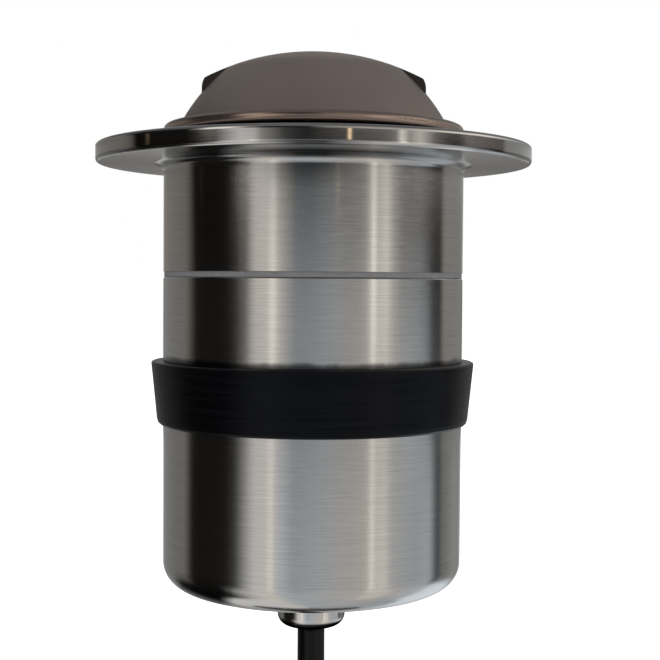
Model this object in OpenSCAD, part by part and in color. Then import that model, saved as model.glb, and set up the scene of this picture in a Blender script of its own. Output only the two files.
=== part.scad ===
// Well light for paving: a flanged tube with a turning hood, a screwed can and a rubber
// wedge ring that grips the drilled hole. The origin is on the axis, in the plane of the
// flange's underside, where the light rests on the paving. +Z is up and +X is a light port.

/* [Flange and upper tube] */
// Outside diameter of the flange
flange_d = 110; // [104:0.5:130]
// Thickness of the flange
flange_t = 4.6; // [3.8:0.1:5.4]
// Radius on the flange's rim edges
rim_r = 0.9; // [0.5:0.1:1.2]
// Outside diameter of the tube and of the can
tube_d = 76.1; // [75.6:0.1:78]
// Wall of the tube and of the can
tube_wall = 2; // [1.6:0.1:2.3]
// Length of the tube below the flange
tube_len = 27.1; // [25:0.1:32]
// Fillet between the flange and the tube
flange_fillet = 2.4; // [1.2:0.1:3]

/* [Lens] */
// Distance from the tube's surface in to the edge of the glass
lens_inset = 7.05; // [6.8:0.05:8]
// Thickness of the glass
lens_t = 5; // [4:0.1:6]
// Thickness of the gasket under the glass
lens_gasket_t = 1; // [0.6:0.1:1.5]
// Width of the ledge under the glass
ledge_w = 3.8; // [3:0.1:5]
// Thickness of the ledge that carries the glass
ledge_t = 4; // [3.5:0.1:5]
// Width of the clamp ring outside the glass
clamp_rim_w = 5.4; // [5:0.1:6.2]
// Thickness of the clamp ring's plate
clamp_t = 2.4; // [2.1:0.1:3.6]
// How far the clamp ring's collar stands in from the edge of the glass
collar_inset = 0.5; // [0.2:0.1:1]
// Wall of the collar
collar_wall = 3; // [2.6:0.1:3.4]
// Height of the collar above the plate
collar_h = 4; // [3.2:0.1:4.4]
// Diameter of the screws of the clamp ring
clamp_screw_d = 2.5; // [2:0.1:2.8]
// Length of the screws of the clamp ring
clamp_screw_len = 7; // [5.5:0.1:8]

/* [Hood] */
// Width of the brim outside the dome
brim_w = 4; // [3:0.1:8]
// Thickness of the brim
brim_t = 2.5; // [1.9:0.1:3.2]
// Width of the dome's foot round the collar
dome_foot_w = 3.45; // [3:0.05:4]
// Height of the dome above the brim
dome_h = 18.5; // [17.6:0.1:20]
// Radius of the crown
crown_r = 60; // [52:0.5:70]
// Radius of the flank's curve
flank_r = 48; // [44:0.5:60]
// Lean of the flank at the brim, from the vertical, in degrees
flank_lean = 28; // [26:0.5:31]
// Radius between the crown and the flank
shoulder_r = 8; // [5:0.5:12]
// Wall of the hood
hood_wall = 1.8; // [1.4:0.1:2.2]
// Distance from the axis to the face of each light port
port_reach = 27.9; // [26.8:0.1:29]
// Outside width of each light port
port_w = 16; // [12:0.5:22]
// Height of the sill of each port above the brim
port_sill = 1.3; // [1:0.1:3]
// Radius at the top of the port's face
lid_r = 4.5; // [3.5:0.1:5.5]

/* [Joint] */
// Thickness of the joint ring between the tube and the can
joint_t = 1.3; // [1:0.1:2.5]
// How far the joint ring sits below the tube's surface
joint_inset = 0.2; // [0.1:0.05:0.5]
// Length of the sleeve that joins the tube and the can
sleeve_len = 30; // [24:0.5:34]
// Wall of the sleeve
sleeve_wall = 2.5; // [2.1:0.1:2.8]
// Section of the seals on the sleeve
seal_d = 1.5; // [1.2:0.1:1.7]

/* [Can and wedge ring] */
// Length of the can
can_len = 78.5; // [76:0.1:100]
// Thickness of the can's floor
can_floor_t = 2; // [1.6:0.1:3]
// Outside radius of the can's bottom corner
can_corner_r = 6.5; // [4:0.1:9]
// Distance from the top of the can to the wedge ring
ring_drop = 21.2; // [10:0.1:40]
// Height of the wedge ring
ring_h = 15.9; // [10:0.1:22]
// Thickness of the wedge ring at its top
ring_top_w = 3; // [2.2:0.1:5]
// Thickness of the wedge ring at its bottom
ring_bottom_w = 1.6; // [1.2:0.1:2.1]
// Edge radius of the wedge ring
ring_edge_r = 0.5; // [0.3:0.1:0.6]

/* [Light engine] */
// Diameter of the emitter
emitter_d = 13; // [9:0.5:14]
// Thickness of the emitter
emitter_t = 1.2; // [0.8:0.1:1.4]
// Diameter of the LED board
board_d = 28; // [27:0.5:30]
// Thickness of the LED board
board_t = 1.6; // [1:0.1:2]
// Depth from the ledge to the floor of the heat sink's cup
cup_depth = 12; // [11.5:0.1:14]
// Wall of the cup
cup_wall = 4.5; // [4.2:0.1:5]
// Thickness of the cup's floor
cup_floor_t = 4; // [3:0.1:6]
// Length of the heat sink's fins
fin_len = 18; // [12:0.5:20]
// Thickness of the fins
fin_t = 1.5; // [1:0.1:2]
// Number of fins
fin_count = 18; // [12:6:24]
// Diameter over the fins
fin_d = 54; // [48:0.5:55]
// Diameter of the heat sink's core
core_d = 18; // [17:0.5:22]
// Diameter of the driver
driver_d = 52; // [46:0.5:60]
// Room for the lead's cores between the lead and the terminal block
core_room = 8; // [6:0.5:14]
// Length of the spacers between heat sink and driver
spacer_len = 6; // [4:0.5:8]
// Width of the terminal block
block_w = 14; // [12:0.5:20]
// Height of the terminal block
block_h = 8; // [6:0.5:9]
// Wall of the reflector
reflector_wall = 0.8; // [0.5:0.1:1]

/* [Cable gland] */
// Thread diameter of the gland
gland_thread_d = 16; // [14:0.5:18]
// How far the gland's cap and collar reach past its thread
gland_lip = 0.7; // [0.5:0.1:2]
// Height of the gland's collar
gland_collar_h = 2; // [1.5:0.1:4]
// Height of the gland's cap
gland_cap_h = 8; // [7:0.1:12]
// Thickness of the flat seal under the collar
gland_seal_t = 0.8; // [0.5:0.1:1.5]
// Radius of the cap's lower edge
gland_cap_r = 3; // [1.5:0.1:3.4]
// Height of the lock nut
lock_nut_h = 4; // [3:0.1:5]
// Wall of the lock nut at its flats
lock_nut_wall = 2; // [1.5:0.1:4]

/* [Lead] */
// Outside diameter of the lead
cable_d = 7; // [6.4:0.1:7.4]
// Diameter of each core of the lead
core_wire_d = 2.2; // [1.6:0.1:2.4]
// Stripped length at the lead's end
strip_len = 28; // [20:1:40]
// Length of each ferrule
ferrule_len = 8; // [6:0.5:12]

/* [Hidden] */

$fn = 96;
// Overrun of every cut
over = 1;
// Radial clearance of pieces that slide or turn on each other
slip = 0.05;
// Clearance of pieces that only lie beside each other
ease = 0.3;

// Radii of the tube and the flange
tube_ro = tube_d / 2;
tube_ri = tube_ro - tube_wall;
flange_ro = flange_d / 2;

// Heights of the lens stack
glass_bottom_z = flange_t - lens_t;
ledge_top_z = glass_bottom_z - lens_gasket_t;
ledge_bottom_z = ledge_top_z - ledge_t;
lens_r = tube_ro - lens_inset;
lens_pocket_r = lens_r + ease / 2;
opening_r = lens_r - ledge_w;
clamp_top_z = flange_t + clamp_t;
collar_ro = lens_r - collar_inset;
collar_ri = collar_ro - collar_wall;
clamp_ro = lens_pocket_r + clamp_rim_w;
clamp_screw_place_r = (lens_pocket_r + clamp_ro) / 2;
clamp_screw_count = 4;
clamp_screw_turn = 45;
clamp_head_r = clamp_screw_d * 0.92;
clamp_head_h = clamp_screw_d / 2;
clamp_chamfer = 0.6;
grip_d = 1.6;
grip_z = clamp_top_z + collar_h / 2;

// Heights of the hood
brim_bottom_z = clamp_top_z + ease;
brim_top_z = brim_bottom_z + brim_t;
brim_edge_r = brim_t * 0.45;
crown_z = brim_top_z + dome_h;
hood_bore_r = collar_ro + slip;
dome_base_r = hood_bore_r + dome_foot_w;
brim_ro = dome_base_r + brim_w;
hood_bore_top_z = clamp_top_z + collar_h + ease;
sill_z = brim_top_z + port_sill;

// Centres of the dome's arcs in its profile: crown, flank and shoulder
crown_c = [0, crown_z - crown_r];
flank_c = [dome_base_r - flank_r * cos(flank_lean), brim_top_z - flank_r * sin(flank_lean)];
shoulder_c = circles_meet(crown_c, crown_r - shoulder_r, flank_c, flank_r - shoulder_r);
// How far the lid's tip circle would stand above the crown, so that the two cross cleanly
lid_rise = 0.1;
lid_c = [port_reach - lid_r,
         crown_c.y + sqrt(pow(crown_r + lid_rise - lid_r, 2) - pow(port_reach - lid_r, 2))];

// Heights of the tube, the joint and the can
tube_bottom_z = -tube_len;
can_top_z = tube_bottom_z - joint_t;
can_bottom_z = can_top_z - can_len;
can_floor_z = can_bottom_z + can_floor_t;
joint_mid_z = (tube_bottom_z + can_top_z) / 2;
can_edge = 0.35;
sleeve_ro = tube_ri - slip;
sleeve_ri = sleeve_ro - sleeve_wall;
seal_place = sleeve_len / 4;
ring_top_z = can_top_z - ring_drop;

// Heights of the light engine
sink_ro = sleeve_ri - ease;
cup_ri = sink_ro - cup_wall;
cup_step_r = cup_ri - 0.9 * reflector_wall - ease;
cup_floor_z = ledge_bottom_z - cup_depth;
sink_base_z = cup_floor_z - cup_floor_t;
sink_bottom_z = sink_base_z - fin_len;
sink_screw_place_r = (cup_ri + sink_ro) / 2;
sink_screw_d = 2.4;
sink_screw_head_d = 4.2;
sink_screw_head_h = 2.4;
sink_screw_grip = 3;
sink_screw_count = 3;
sink_screw_turn = 90;
board_top_z = cup_floor_z + board_t;
board_screw_d = 2;
board_screw_head_d = 3.6;
board_screw_head_h = 1.3;
board_screw_place_r = board_d / 2 - board_screw_head_d * 0.6;
board_screw_count = 3;
board_screw_turn = 30;
wire_d = 1.6;
wire_place = core_d / 3;
wire_turn = 90;
boss_d = 6.5;
boss_count = 3;
boss_turn = 30;
boss_place_r = fin_d * 0.37;
spacer_af = 5.5;
driver_top_z = sink_bottom_z - spacer_len;
tail_top_z = can_floor_z + lock_nut_h * 2.3;
block_bottom_z = tail_top_z + core_room;
driver_bottom_z = block_bottom_z + block_h;
driver_h = driver_top_z - driver_bottom_z;
driver_edge = 1.2;
reflector_top_z = ledge_bottom_z - ease;
reflector_rim_t = reflector_wall * 1.2;
reflector_foot_r = emitter_d / 2 + ease;
reflector_foot_z = board_top_z + max(emitter_t, board_screw_head_h) + ease;
reflector_mouth_r = min(cup_step_r - reflector_wall, opening_r) - ease;

// Heights of the terminal block and the gland
block_d = block_w * 0.7;
block_edge = 0.8;
block_screw_d = 3;
core_place = core_wire_d * 0.75;
gland_thread_r = gland_thread_d / 2;
gland_ro = gland_thread_r + gland_lip;
lock_nut_af = gland_thread_d + 2 * lock_nut_wall;
collar_top_z = can_bottom_z - gland_seal_t;
cap_top_z = collar_top_z - gland_collar_h;
mouth_z = cap_top_z - gland_cap_h;
cap_thread_r = gland_thread_r * 0.84;
cap_floor_t = gland_cap_h * 0.3;
gland_bore_r = cable_d / 2 + 1.1;
gland_seal_top_z = can_floor_z + lock_nut_h / 2;
gland_body_top_z = can_floor_z + lock_nut_h + 1.2 * slip;

// The lead's free stretch, as points across and down from the gland's mouth: straight out,
// then a slow bend to the side of the coil
route = [[0, 0, 0], [0, 0, -8], [0, 0, -16], [-0.5, 0, -23.5], [-2.5, 0, -31], [-5.5, 0, -38],
         [-10, 0, -44.5], [-15.5, 0, -50], [-21.5, 0, -54.5], [-27.5, 0, -59], [-33, 0, -64.5],
         [-37.5, 0, -71], [-40.5, 0, -78], [-42.5, 0, -85.5], [-43, 0, -93], [-43, 0, -100]];
// The coil: its straight ends, its turns, the outer radius of its spiral, and the pitch
// between turns and between its two layers
coil_straight = 7;
coil_turns = 4;
coil_r = 43;
coil_pitch = cable_d + 0.5;
coil_rings = 24;
coil_c = [0, 0, -107];
tie_w = 4.8;
tie_t = 1.2;

// Where two circles meet, on the side of larger x
function circles_meet(a, ra, b, rb) =
    let (d = norm(b - a), along = (d * d + ra * ra - rb * rb) / (2 * d),
         up = sqrt(ra * ra - along * along), u = (b - a) / d)
    a + along * u + up * [-u.y, u.x] * (u.y > 0 ? -1 : 1);

function unit(v) = v / norm(v);

// Centre line of the coil after t turns: in along one layer, across, and out along the other
function coil_radius(t) = coil_r - coil_pitch * min(t, coil_turns - t);
function coil_layer(t) =
    let (s = min(max((t - coil_turns / 2) * 2 + 0.5, 0), 1))
    coil_pitch * s * s * (3 - 2 * s);
function coil_point(t) =
    coil_c + [-coil_radius(t) * cos(360 * t), coil_layer(t), -coil_radius(t) * sin(360 * t)];
coil_path = concat(
    [coil_point(0) + [0, 0, coil_straight]],
    [for (i = [0:coil_turns * coil_rings]) coil_point(i / coil_rings)],
    [coil_point(coil_turns) - [0, 0, coil_straight]]);

// Least distance between the coil's surfaces, measured between its rings half a turn apart or more
coil_gap = min([for (i = [0:len(coil_path) - 1], j = [i + coil_rings / 2:len(coil_path) - 1])
    norm(coil_path[i] - coil_path[j])]) - cable_d;
echo(coil_gap = coil_gap);

// A round tube of the given diameter and number of sides along a path that keeps off the Y axis
module tube(path, d, sides) {
    last = len(path) - 1;
    rings = [for (i = [0:last])
        let (t = unit(path[min(i + 1, last)] - path[max(i - 1, 0)]),
             a = unit(cross([0, 1, 0], t)), b = cross(t, a))
        for (k = [0:sides - 1])
            path[i] + d / 2 * (cos(360 * k / sides) * a + sin(360 * k / sides) * b)];
    walls = [for (i = [0:last - 1], k = [0:sides - 1])
        let (p = i * sides + k, q = i * sides + (k + 1) % sides)
        each [[p, q + sides, q], [p, p + sides, q + sides]]];
    start = [for (k = [1:sides - 2]) [0, k, k + 1]];
    finish = [for (k = [1:sides - 2]) [last * sides, last * sides + k + 1, last * sides + k]];
    polyhedron(rings, concat(walls, start, finish));
}

// A ring about Z with a rectangular section
module band(ro, ri, z0, z1) {
    translate([0, 0, z0]) difference() {
        cylinder(r = ro, h = z1 - z0);
        translate([0, 0, -over]) cylinder(r = ri, h = z1 - z0 + 2 * over);
    }
}

// A round seal about Z
module seal_ring(place_r, z, d) {
    translate([0, 0, z]) rotate_extrude() translate([place_r, 0]) circle(d = d, $fn = 32);
}

// Copies turned about Z
module around(count, start = 0) {
    for (i = [0:count - 1]) rotate(start + 360 * i / count) children();
}

// A rectangle from one corner to the other with rounded corners
module soft_square(low, high, r) {
    translate([low.x, low.y + r]) square([high.x - low.x, high.y - low.y - 2 * r]);
    translate([low.x + r, low.y]) square([high.x - low.x - 2 * r, high.y - low.y]);
    for (x = [low.x + r, high.x - r], y = [low.y + r, high.y - r]) translate([x, y]) circle(r, $fn = 32);
}

module faceplate() {
    color([0.62, 0.62, 0.61]) difference() {
        rotate_extrude() {
            soft_square([lens_pocket_r, 0], [flange_ro, flange_t], rim_r);
            translate([lens_pocket_r, 0]) square([tube_ro - lens_pocket_r, flange_t]);
            translate([tube_ri, tube_bottom_z]) square([tube_wall, tube_len]);
            translate([opening_r, ledge_bottom_z]) square([tube_ro - opening_r, ledge_t]);
            translate([lens_pocket_r, ledge_top_z]) square([tube_ro - lens_pocket_r, -ledge_top_z]);
            difference() {
                translate([tube_ro, -flange_fillet]) square(flange_fillet);
                translate([tube_ro + flange_fillet, -flange_fillet]) circle(flange_fillet, $fn = 48);
            }
        }
        around(clamp_screw_count, clamp_screw_turn)
            translate([clamp_screw_place_r, 0, clamp_top_z - clamp_screw_len - over])
            cylinder(d = clamp_screw_d, h = clamp_screw_len, $fn = 32);
        around(sink_screw_count, sink_screw_turn)
            translate([sink_screw_place_r, 0, ledge_bottom_z - over])
            cylinder(d = sink_screw_d, h = sink_screw_grip + over, $fn = 32);
    }
}

module lens_gasket() {
    color([0.08, 0.08, 0.08])
        band(lens_r, opening_r + ease, ledge_top_z, glass_bottom_z);
}

module glass_lens() {
    color([0.75, 0.85, 0.85, 0.5]) rotate_extrude() {
        edge = lens_t / 8;
        polygon([[0, glass_bottom_z], [lens_r - edge, glass_bottom_z],
                 [lens_r, glass_bottom_z + edge], [lens_r, flange_t - edge],
                 [lens_r - edge, flange_t], [0, flange_t]]);
    }
}

module clamp_ring() {
    color([0.2, 0.2, 0.21]) difference() {
        rotate_extrude() difference() {
            polygon([[collar_ri, flange_t], [clamp_ro, flange_t],
                     [clamp_ro, clamp_top_z - clamp_chamfer],
                     [clamp_ro - clamp_chamfer, clamp_top_z], [collar_ro, clamp_top_z],
                     [collar_ro, clamp_top_z + collar_h], [collar_ri, clamp_top_z + collar_h]]);
            translate([collar_ro - grip_d - slip, grip_z - grip_d / 2 - slip])
                square([grip_d + over, grip_d + 2 * slip]);
        }
        around(clamp_screw_count, clamp_screw_turn) translate([clamp_screw_place_r, 0, flange_t]) {
            translate([0, 0, -over])
                cylinder(r = clamp_screw_d / 2 + slip, h = clamp_t + 2 * over, $fn = 32);
            translate([0, 0, clamp_t - clamp_head_h - slip])
                cylinder(r1 = clamp_screw_d / 2 + slip, r2 = clamp_head_r + slip,
                         h = clamp_head_h + slip, $fn = 32);
        }
    }
}

module clamp_screws() {
    color([0.7, 0.7, 0.7]) around(clamp_screw_count, clamp_screw_turn)
        translate([clamp_screw_place_r, 0, clamp_top_z - clamp_screw_len]) difference() {
            union() {
                cylinder(d = clamp_screw_d - 2 * slip, h = clamp_screw_len - clamp_head_h, $fn = 32);
                translate([0, 0, clamp_screw_len - clamp_head_h])
                    cylinder(r1 = clamp_screw_d / 2 - slip, r2 = clamp_head_r,
                             h = clamp_head_h, $fn = 32);
            }
            translate([0, 0, clamp_screw_len - clamp_head_h * 0.8])
                cylinder(d = clamp_screw_d * 0.7, h = clamp_head_h, $fn = 6);
        }
}

module hood_grip_ring() {
    color([0.07, 0.07, 0.07]) seal_ring(collar_ro - grip_d / 2, grip_z, grip_d);
}

// The corner of the dome's profile between two arc directions, seen from the arc's centre
module arc_corner(c, u, v, reach) {
    polygon([c, c + reach * u, c + reach * (u + v), c + reach * v]);
}

// Half profile of the dome: crown arc, shoulder arc and flank arc, all drawn in by inset
module dome_profile(inset) {
    u = unit(shoulder_c - crown_c);
    v = unit(shoulder_c - flank_c);
    intersection() {
        translate([0, brim_top_z]) square([2 * dome_base_r, dome_h + over]);
        union() {
            difference() {
                intersection() {
                    translate(crown_c) circle(crown_r - inset, $fn = 240);
                    translate(flank_c) circle(flank_r - inset, $fn = 240);
                }
                arc_corner(shoulder_c, u, v, 2 * shoulder_r);
            }
            intersection() {
                translate(shoulder_c) circle(shoulder_r - inset, $fn = 96);
                arc_corner(shoulder_c, u, v, 2 * shoulder_r);
            }
        }
    }
}

// Side profile of a port's lid: an arc above the crown, the rounded tip and the upright face
module lid_profile() {
    u = unit(lid_c - crown_c);
    intersection() {
        translate([0, brim_top_z]) square([port_reach, dome_h + over]);
        union() {
            difference() {
                translate(crown_c) circle(crown_r + over, $fn = 240);
                arc_corner(lid_c, u, [1, 0], 2 * lid_r);
            }
            intersection() {
                translate(lid_c) circle(lid_r, $fn = 48);
                arc_corner(lid_c, u, [1, 0], 2 * lid_r);
            }
        }
    }
}

module hood() {
    window_w = port_w - 2 * hood_wall;
    color([0.37, 0.34, 0.32]) difference() {
        union() {
            rotate_extrude() {
                soft_square([hood_bore_r - brim_t, brim_bottom_z], [brim_ro, brim_top_z], brim_edge_r);
                dome_profile(0);
            }
            intersection() {
                translate([0, 0, crown_c.y]) sphere(crown_r, $fn = 240);
                for (side = [0, 180]) rotate([0, 0, side]) rotate([90, 0, 0])
                    linear_extrude(port_w, center = true) lid_profile();
            }
        }
        translate([0, 0, brim_bottom_z - over])
            cylinder(r = hood_bore_r, h = hood_bore_top_z - brim_bottom_z + over);
        rotate_extrude() intersection() {
            dome_profile(hood_wall);
            translate([0, hood_bore_top_z - slip]) square([2 * dome_base_r, dome_h]);
        }
        intersection() {
            translate([0, 0, crown_c.y]) sphere(crown_r - 1.4 * hood_wall, $fn = 240);
            translate([-brim_ro, -window_w / 2, sill_z]) cube([2 * brim_ro, window_w, dome_h]);
        }
    }
}

module reflector() {
    bowl_h = reflector_top_z - reflector_rim_t - reflector_foot_z;
    steps = 10;
    function bowl_r(s) = reflector_foot_r + (reflector_mouth_r - reflector_foot_r) * sqrt(s);
    color([0.85, 0.85, 0.86]) rotate_extrude() polygon(concat(
        [for (i = [0:steps]) [bowl_r(i / steps), reflector_foot_z + bowl_h * i / steps]],
        [[reflector_mouth_r, reflector_top_z], [cup_ri - slip, reflector_top_z],
         [cup_ri - slip, reflector_top_z - reflector_rim_t]],
        [for (i = [steps:-1:0])
            [bowl_r(i / steps) + reflector_wall, reflector_foot_z + bowl_h * i / steps]]));
}

module led_emitter() {
    color([0.95, 0.85, 0.4]) translate([0, 0, board_top_z]) {
        cylinder(d = emitter_d, h = emitter_t * 0.6);
        translate([0, 0, emitter_t * 0.6]) cylinder(d = emitter_d * 0.8, h = emitter_t * 0.4);
    }
}

module led_board() {
    color([0.9, 0.9, 0.88]) difference() {
        translate([0, 0, cup_floor_z]) cylinder(d = board_d, h = board_t);
        around(board_screw_count, board_screw_turn)
            translate([board_screw_place_r, 0, cup_floor_z - over])
            cylinder(r = board_screw_d / 2 + slip, h = board_t + 2 * over, $fn = 32);
    }
}

module board_screws() {
    color([0.7, 0.7, 0.7]) around(board_screw_count, board_screw_turn)
    translate([board_screw_place_r, 0, board_top_z]) {
        translate([0, 0, -board_t - cup_floor_t / 2])
            cylinder(r = board_screw_d / 2 - slip, h = board_t + cup_floor_t / 2, $fn = 32);
        difference() {
            cylinder(d = board_screw_head_d, h = board_screw_head_h, $fn = 32);
            translate([0, 0, board_screw_head_h / 2])
                cylinder(d = board_screw_head_d / 2, h = board_screw_head_h, $fn = 6);
        }
    }
}

module heat_sink() {
    color([0.72, 0.72, 0.73]) difference() {
        union() {
            difference() {
                translate([0, 0, sink_base_z]) cylinder(r = sink_ro, h = ledge_bottom_z - sink_base_z);
                translate([0, 0, cup_floor_z]) cylinder(r = cup_step_r, h = cup_depth + over);
                translate([0, 0, reflector_top_z - reflector_rim_t])
                    cylinder(r = cup_ri, h = cup_depth);
            }
            translate([0, 0, sink_bottom_z]) {
                cylinder(d = core_d, h = fin_len + cup_floor_t / 2);
                around(fin_count) translate([core_d / 4, -fin_t / 2, 0])
                    cube([fin_d / 2 - core_d / 4, fin_t, fin_len + cup_floor_t / 2]);
                around(boss_count, boss_turn) translate([boss_place_r, 0, 0])
                    cylinder(d = boss_d, h = fin_len + cup_floor_t / 2, $fn = 48);
            }
        }
        around(sink_screw_count, sink_screw_turn) translate([sink_screw_place_r, 0, sink_base_z - over])
            cylinder(r = sink_screw_d / 2 + slip, h = cup_depth + cup_floor_t + 2 * over, $fn = 32);
        around(board_screw_count, board_screw_turn)
            translate([board_screw_place_r, 0, cup_floor_z - cup_floor_t / 2])
            cylinder(d = board_screw_d, h = cup_floor_t, $fn = 32);
        around(2, wire_turn) translate([wire_place, 0, sink_bottom_z - over])
            cylinder(r = wire_d / 2 + ease, h = fin_len + cup_floor_t + 2 * over, $fn = 32);
    }
}

module heat_sink_screws() {
    shank = sink_screw_grip - ease + cup_depth + cup_floor_t;
    color([0.7, 0.7, 0.7]) around(sink_screw_count, sink_screw_turn)
    translate([sink_screw_place_r, 0, sink_base_z]) {
        cylinder(r = sink_screw_d / 2 - slip, h = shank, $fn = 32);
        translate([0, 0, -sink_screw_head_h]) difference() {
            cylinder(d = sink_screw_head_d, h = sink_screw_head_h, $fn = 32);
            translate([0, 0, -over])
                cylinder(d = sink_screw_head_d / 2, h = over + sink_screw_head_h / 2, $fn = 6);
        }
    }
}

module driver_spacers() {
    color([0.8, 0.68, 0.35]) around(boss_count, boss_turn) translate([boss_place_r, 0, driver_top_z])
        cylinder(r = spacer_af / sqrt(3), h = spacer_len, $fn = 6);
}

module driver() {
    lid_t = driver_edge * 1.5;
    color([0.16, 0.16, 0.17]) difference() {
        rotate_extrude() polygon([
            [0, driver_bottom_z], [driver_d / 2 - driver_edge, driver_bottom_z],
            [driver_d / 2, driver_bottom_z + driver_edge],
            [driver_d / 2, driver_top_z - lid_t - driver_edge],
            [driver_d / 2 - driver_edge / 2, driver_top_z - lid_t - driver_edge / 2],
            [driver_d / 2 - driver_edge / 2, driver_top_z - driver_edge / 2],
            [driver_d / 2 - driver_edge, driver_top_z], [0, driver_top_z]]);
        around(2, wire_turn) translate([wire_place, 0, driver_top_z - driver_h / 8])
            cylinder(r = wire_d / 2 + slip, h = driver_h, $fn = 32);
    }
}

module output_wires() {
    color([0.75, 0.1, 0.08]) around(2, wire_turn)
        translate([wire_place, 0, driver_top_z - driver_h / 8])
            cylinder(d = wire_d, h = cup_floor_z - driver_top_z + driver_h / 8, $fn = 32);
}

module terminal_block() {
    color([0.85, 0.84, 0.8]) difference() {
        translate([0, 0, block_bottom_z]) union() {
            translate([-block_w / 2, -block_d / 2, block_edge])
                cube([block_w, block_d, block_h - block_edge]);
            translate([-block_w / 2 + block_edge, -block_d / 2 + block_edge, 0])
                cube([block_w - 2 * block_edge, block_d - 2 * block_edge, block_h]);
        }
        for (side = [-1, 1]) {
            translate([side * core_place, 0, block_bottom_z - over])
                cylinder(r = core_wire_d / 2 + slip, h = block_h / 2 + over, $fn = 32);
            translate([side * block_w / 4, -block_d / 2 - over, block_bottom_z + block_h / 2])
                rotate([-90, 0, 0]) cylinder(d = block_screw_d, h = over + block_d / 8, $fn = 32);
        }
    }
}

module coupling_sleeve() {
    groove_d = seal_d + slip;
    color([0.66, 0.66, 0.66]) difference() {
        band(sleeve_ro, sleeve_ri, joint_mid_z - sleeve_len / 2, joint_mid_z + sleeve_len / 2);
        for (side = [-1, 1]) translate([0, 0, joint_mid_z + side * seal_place])
            band(sleeve_ro + over, sleeve_ro - groove_d, -groove_d / 2, groove_d / 2);
    }
}

module sleeve_seals() {
    color([0.07, 0.07, 0.07]) for (side = [-1, 1])
        seal_ring(sleeve_ro - seal_d / 2, joint_mid_z + side * seal_place, seal_d);
}

module joint_ring() {
    color([0.45, 0.46, 0.47]) band(tube_ro - joint_inset, tube_ri + slip, can_top_z, tube_bottom_z);
}

module lower_can() {
    inner_corner_r = can_corner_r - min(tube_wall, can_floor_t);
    color([0.62, 0.62, 0.61]) difference() {
        rotate_extrude() difference() {
            union() {
                translate([0, can_bottom_z + can_corner_r]) square([tube_ro, can_len - can_corner_r]);
                translate([0, can_bottom_z]) square([tube_ro - can_corner_r, can_len]);
                translate([tube_ro - can_corner_r, can_bottom_z + can_corner_r])
                    circle(can_corner_r, $fn = 96);
            }
            translate([0, can_floor_z + inner_corner_r]) square([tube_ri, can_len]);
            translate([0, can_floor_z]) square([tube_ri - inner_corner_r, can_len]);
            translate([tube_ri - inner_corner_r, can_floor_z + inner_corner_r])
                circle(inner_corner_r, $fn = 64);
            polygon([[tube_ro - can_edge, can_top_z + over], [tube_ro - can_edge, can_top_z],
                     [tube_ro, can_top_z - can_edge], [tube_ro + over, can_top_z - can_edge],
                     [tube_ro + over, can_top_z + over]]);
        }
        translate([0, 0, can_bottom_z - over])
            cylinder(r = gland_thread_r + slip, h = can_floor_t + 2 * over);
    }
}

module wedge_ring() {
    top_r = tube_ro + ring_top_w;
    bottom_r = tube_ro + ring_bottom_w;
    bore_r = tube_ro + slip;
    low_z = ring_top_z - ring_h;
    color([0.06, 0.06, 0.07]) rotate_extrude() polygon([
        [bore_r, ring_top_z], [top_r - ring_edge_r, ring_top_z],
        [top_r - ring_edge_r * 0.3, ring_top_z - ring_edge_r * 0.3],
        [top_r, ring_top_z - ring_edge_r], [bottom_r, low_z + 3 * ring_edge_r],
        [bottom_r - ring_edge_r * 0.5, low_z + 1.2 * ring_edge_r],
        [bottom_r - ring_edge_r * 1.6, low_z + 0.2 * ring_edge_r],
        [bottom_r - ring_edge_r * 2.2, low_z], [bore_r, low_z]]);
}

module gland_lock_nut() {
    color([0.75, 0.73, 0.68]) translate([0, 0, can_floor_z]) difference() {
        cylinder(r = lock_nut_af / sqrt(3), h = lock_nut_h, $fn = 6);
        translate([0, 0, -over]) cylinder(r = gland_thread_r + slip, h = lock_nut_h + 2 * over);
    }
}

module gland_flat_seal() {
    color([0.07, 0.07, 0.07]) band(gland_ro - ease, gland_thread_r + slip, collar_top_z, can_bottom_z);
}

module gland_body() {
    color([0.75, 0.74, 0.72]) difference() {
        union() {
            translate([0, 0, cap_top_z]) cylinder(r = gland_thread_r, h = gland_body_top_z - cap_top_z);
            translate([0, 0, cap_top_z]) cylinder(r = gland_ro, h = gland_collar_h);
            translate([0, 0, mouth_z + cap_floor_t + ease])
                cylinder(r = cap_thread_r, h = cap_top_z - mouth_z - cap_floor_t);
        }
        translate([0, 0, mouth_z])
            cylinder(r = gland_bore_r, h = gland_body_top_z - mouth_z + over);
    }
}

module gland_seal() {
    color([0.09, 0.09, 0.09])
        band(gland_bore_r - slip, cable_d / 2 + slip, mouth_z + cap_floor_t, gland_seal_top_z);
}

module gland_cap() {
    color([0.78, 0.77, 0.75]) rotate_extrude() difference() {
        union() {
            translate([0, mouth_z + gland_cap_r]) square([gland_ro, gland_cap_h - gland_cap_r]);
            translate([0, mouth_z]) square([gland_ro - gland_cap_r, gland_cap_h]);
            translate([gland_ro - gland_cap_r, mouth_z + gland_cap_r]) circle(gland_cap_r, $fn = 64);
        }
        translate([0, mouth_z + cap_floor_t]) square([cap_thread_r + slip, gland_cap_h]);
        translate([0, mouth_z - over]) square([cable_d / 2 + slip, gland_cap_h]);
    }
}

module cable_tail() {
    color([0.05, 0.05, 0.05]) translate([0, 0, mouth_z])
        cylinder(d = cable_d, h = tail_top_z - mouth_z, $fn = 48);
}

module tail_cores() {
    color([0.35, 0.2, 0.12]) for (side = [-1, 1]) translate([side * core_place, 0, tail_top_z])
        cylinder(d = core_wire_d, h = block_bottom_z + block_h / 3 - tail_top_z, $fn = 32);
}

module cable() {
    color([0.05, 0.05, 0.05]) translate([0, 0, mouth_z]) tube(route, cable_d, 12);
}

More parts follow.
